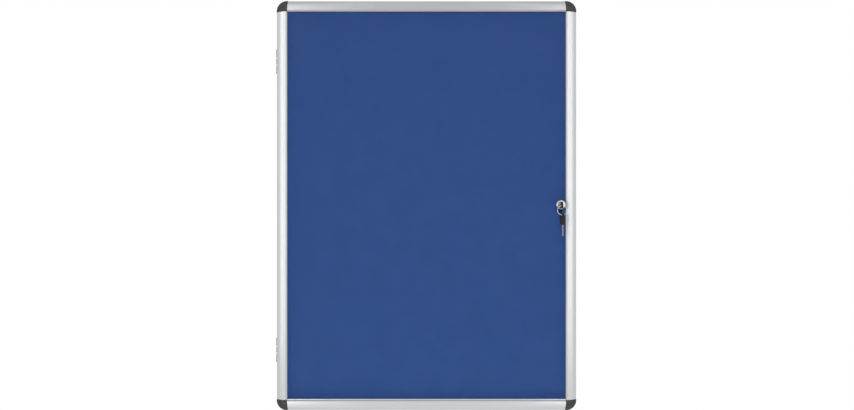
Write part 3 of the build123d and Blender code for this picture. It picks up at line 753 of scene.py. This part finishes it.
def makeShank():
    size = keyShank
    clearSelection()
    bpy.ops.mesh.primitive_cube_add(size=1, location=((size["tip"] + size["end"]) / 2, 0, 0))
    shank = newest("shankMaster")
    shank.scale = (size["end"] - size["tip"], size["width"], size["thick"])
    settle(shank)
    upright = runsAlong("Z")
    pick(shank, "EDGE", lambda mesh, edge: upright(mesh, edge) and mesh.vertices[edge.vertices[0]].co.x < 0)
    bpy.ops.mesh.bevel(offset=size["point"], segments=size["pointSteps"], affect="EDGES")
    bpy.ops.object.mode_set(mode="OBJECT")
    for number, deep in enumerate(size["cuts"]):
        clearSelection()
        bpy.ops.mesh.primitive_cylinder_add(
            vertices=size["cutSides"], radius=deep, depth=2 * size["thick"],
            location=(size["firstCut"] + number * size["cutPitch"], -size["width"] / 2, 0),
        )
        carve(shank, newest("cut"), "DIFFERENCE")
    for side in (-1, 1):
        clearSelection()
        start, stop = size["tip"] - size["point"], size["grooveEnd"]
        bpy.ops.mesh.primitive_cube_add(
            size=1, location=((start + stop) / 2, size["grooveUp"], side * size["thick"] / 2)
        )
        groove = newest("groove")
        groove.scale = (stop - start, size["grooveWide"], 2 * size["grooveDeep"])
        settle(groove)
        carve(shank, groove, "DIFFERENCE")
    soften(shank, size["soft"], size["softSteps"], size["softAngle"])
    tidy(shank, size["smooth"])
    return shank


# which way each key's head points, and which way it is thin; the spare key hangs turned
keyTurn = math.radians(27)
keyWays = {
    "key": ((0, -1, 0), (1, 0, 0)),
    "spare_key": ((0, 0, 1), (math.cos(keyTurn), math.sin(keyTurn), 0)),
}
# each master is copied to both keys, then removed
keyMasters = {
    "bow": (makeBow(), "key_plastic", "_head"),
    "shank": (makeShank(), "key_metal", "_blade"),
}
for keyName, (along, thickWay) in keyWays.items():
    along, thickWay = Vector(along), Vector(thickWay)
    start = middle(keyName + "_head") - along * keyBow["length"] / 2
    turn = Matrix((along, thickWay.cross(along), thickWay)).transposed().to_4x4()
    for kind, (master, slot, ending) in keyMasters.items():
        copied = master.copy()
        copied.data = master.data.copy()
        copied.name = keyName + "_" + kind
        bpy.context.collection.objects.link(copied)
        copied.matrix_world = Matrix.Translation(start) @ turn
        settle(copied)
        dress(copied, keyName, slot, keyName + ending)
for master, *_ in keyMasters.values():
    bpy.data.objects.remove(master)
print("keys made")


# studio: pale floor that fades into white surroundings, lamps in front
studio = {
    "floorHeight": -0.8, "floorSize": 2.4, "floorTone": tone(0.86, 0.86, 0.86),
    "whiteFrom": 0.25, "whiteTo": 0.85, "white": 1.0,
    "around": 0.2, "overhead": 1.7, "overheadFrom": 0.6, "overheadTo": 0.9, "overheadLean": 28,
}
# side lamps light the rails, with no shadow on the felt; the pane doesn't mirror the front lamp
lamps = {
    "keyLamp": {
        "at": (-1.1, -3.0, 0.3), "wide": 0.75, "high": 2.1, "power": 16, "shadow": False, "mirrored": True},
    "fillLamp": {
        "at": (1.1, -3.0, 0.3), "wide": 0.75, "high": 2.1, "power": 13, "shadow": False, "mirrored": True},
    "frontLamp": {
        "at": (0, -3.1, 0.2), "wide": 0.4, "high": 0.4, "power": 37.3, "shadow": True, "mirrored": False},
}


# 1 for rays that see the background: from the camera, off metal and through glass
def seenRays(f, ahead=1.0):
    straight, glossy, through = (
        f.add("LightPath", None, None, "Is %s Ray" % name) for name in ("Camera", "Glossy", "Transmission"))
    return f.add("Math", {"operation": "MINIMUM"}, {0: straight * ahead + glossy + through, 1: 1.0})


def makeStudio():
    clearSelection()
    bpy.ops.mesh.primitive_plane_add(size=studio["floorSize"], location=(0, 0, studio["floorHeight"]))
    floor = newest("floor")
    settle(floor)
    f = Finish("paleFloor")
    away = f.add("VectorMath", {"operation": "LENGTH"}, {0: f.place(stretch=(1, 1, 0))}, "Value")
    seen = seenRays(f, f.fade(away, studio["whiteFrom"], studio["whiteTo"]))
    matt = f.add("BsdfDiffuse", None, {"Color": studio["floorTone"]})
    clear = f.add("BsdfTransparent")
    floor.data.materials.append(f.close(f.add("MixShader", None, {0: seen, 1: matt, 2: clear})))

    world = bpy.data.worlds.new("studio")
    bpy.context.scene.world = world
    f = Finish("studio", world)
    way = f.add("TexCoord", out="Generated")
    back, up = (f.add("SeparateXYZ", None, {"Vector": way}, axis) for axis in "YZ")
    lean = math.radians(studio["overheadLean"])
    above = f.fade(
        up * math.cos(lean) + back * math.sin(lean), studio["overheadFrom"], studio["overheadTo"])
    around, overhead, white = (
        f.add("Background", None, {"Color": tone(1, 1, 1), "Strength": studio[name]})
        for name in ("around", "overhead", "white"))
    soft = f.add("MixShader", None, {0: above, 1: around, 2: overhead})
    sky = f.add("MixShader", None, {0: seenRays(f), 1: soft, 2: white})
    f.add("OutputWorld", None, {"Surface": sky})

    for name, lamp in lamps.items():
        bpy.ops.object.light_add(type="AREA", location=lamp["at"])
        light = newest(name)
        light.data.shape = "RECTANGLE"
        light.data.size = lamp["wide"]
        light.data.size_y = lamp["high"]
        light.data.energy = lamp["power"]
        light.data.use_shadow = lamp["shadow"]
        light.visible_glossy = lamp["mirrored"]
        light.rotation_euler = (-Vector(lamp["at"])).to_track_quat("-Z", "Y").to_euler()


makeStudio()

# camera: straight on, framed as 854 x 410
shot = {"at": (0.0012, -3.035, 0.0016), "sensor": 36, "lens": 52.62}
bpy.ops.object.camera_add(location=shot["at"], rotation=(math.pi / 2, 0, 0))
camera = bpy.context.object
camera.data.sensor_width = shot["sensor"]
camera.data.lens = shot["lens"]
bpy.context.scene.camera = camera
bpy.context.scene.view_settings.view_transform = "Standard"
print("studio and camera set")
